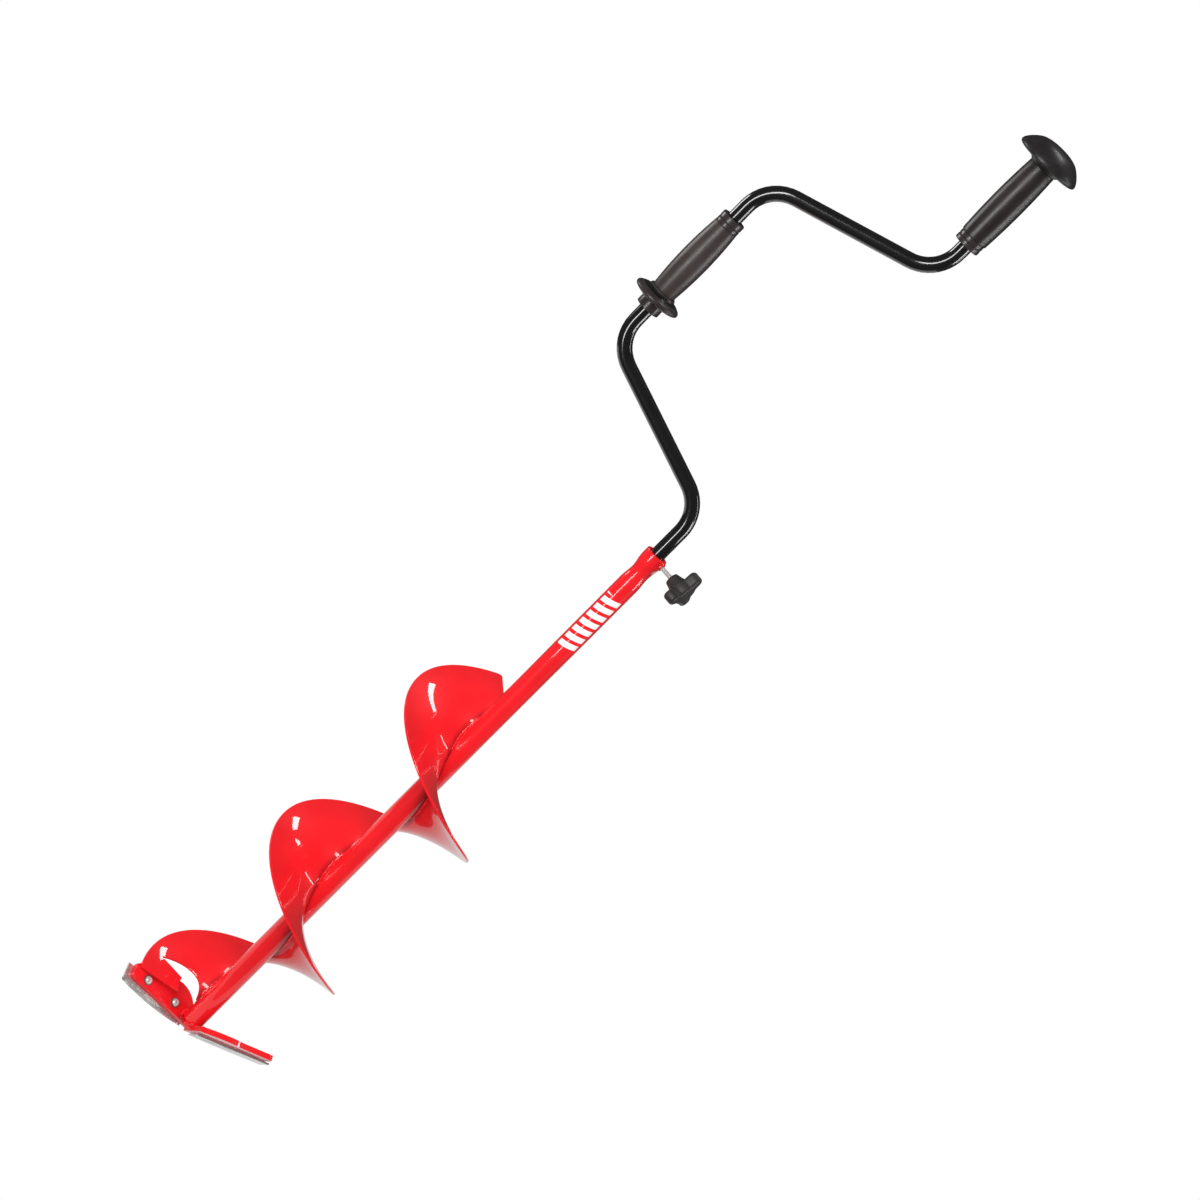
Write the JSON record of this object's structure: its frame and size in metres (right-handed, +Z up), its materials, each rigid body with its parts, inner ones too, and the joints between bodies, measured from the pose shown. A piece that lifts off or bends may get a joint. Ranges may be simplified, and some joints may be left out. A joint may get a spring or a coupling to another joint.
{
  "type": "hand ice auger",
  "caption": "Hand ice auger: red flighted drill tube with two bolted cutters, telescoping black crank handle, clamp knob, turning grips and palm cap.",
  "frame": {"origin": "on the drill's axis, at the height of the lowest point of the cutting edges", "axes": "+Z up the drill's axis towards the palm cap; -X towards the offset of the crank; the clamp knob stands out on the +X side"},
  "size_m": [0.295, 0.169, 1.281],
  "materials": {
    "red_enamel": "gloss enamel",
    "black_enamel": "high gloss enamel",
    "blade_steel": "ground steel",
    "zinc_steel": "zinc plated",
    "brass": "turned",
    "grip_rubber": "matt moulded",
    "cap_plastic": "satin moulded",
    "black_plastic": "moulded",
    "pale_plastic": "natural nylon",
    "label_white": "printed"
  },
  "bodies": {
    "auger": {"drill_tube": "red_enamel", "tube_end_plug": "red_enamel", "guide_bush": "black_plastic", "clamp_boss": "red_enamel", "flight": "red_enamel", "cutter_seat_right": "red_enamel", "cutter_seat_left": "red_enamel", "cutter_right": "blade_steel", "cutter_left": "blade_steel", "cutter_screws": "zinc_steel", "cutter_washers": "zinc_steel"},
    "glide": {"glide_sleeve": "pale_plastic"},
    "crank": {"crank_tube": "black_enamel", "glide_stop_collar": "zinc_steel", "crank_foot_plug": "black_plastic", "mid_grip_retainers": "zinc_steel", "top_grip_retainers": "zinc_steel"},
    "clamp_tip": {"clamp_pad": "brass"},
    "clamp_screw": {"clamp_stud": "zinc_steel", "knob_insert": "brass", "clamp_knob": "black_plastic"},
    "middle_grip": {"mid_grip_liner": "pale_plastic", "mid_grip_hub": "cap_plastic", "guard_disc": "cap_plastic", "mid_grip_sleeve": "grip_rubber", "mid_grip_end_ring": "cap_plastic"},
    "top_handle": {"top_grip_liner": "pale_plastic", "top_grip_end_ring": "cap_plastic", "top_grip_sleeve": "grip_rubber", "palm_cap": "cap_plastic"}
  },
  "joints": [
    {"name": "handle_extension", "type": "slide", "parent": "auger", "child": "glide", "axis": [0, 0, 1], "range_m": [0, 0.225]},
    {"name": "handle_turn", "type": "hinge", "parent": "glide", "child": "crank", "pos_m": [0, 0, 0.7], "axis": [0, 0, 1], "continuous": true},
    {"name": "middle_grip_turn", "type": "hinge", "parent": "crank", "child": "middle_grip", "pos_m": [-0.1788, 0, 0.95], "axis": [0, 0, 1], "continuous": true},
    {"name": "top_handle_turn", "type": "hinge", "parent": "crank", "child": "top_handle", "pos_m": [0, 0, 1.21], "axis": [0, 0, 1], "continuous": true},
    {"name": "clamp_travel", "type": "slide", "parent": "auger", "child": "clamp_tip", "axis": [0.9563, -0.2924, 0], "range_m": [0, 0.00301]},
    {"name": "clamp_knob_turn", "type": "hinge", "parent": "clamp_tip", "child": "clamp_screw", "pos_m": [0.02869, -0.00877, 0.7103], "axis": [0.9563, -0.2924, 0], "range_deg": [0, 1080]}
  ],
  "couplings": [
    {"joint": "clamp_travel", "follows": "clamp_knob_turn", "m_per_rad": 0.00015915}
  ]
}
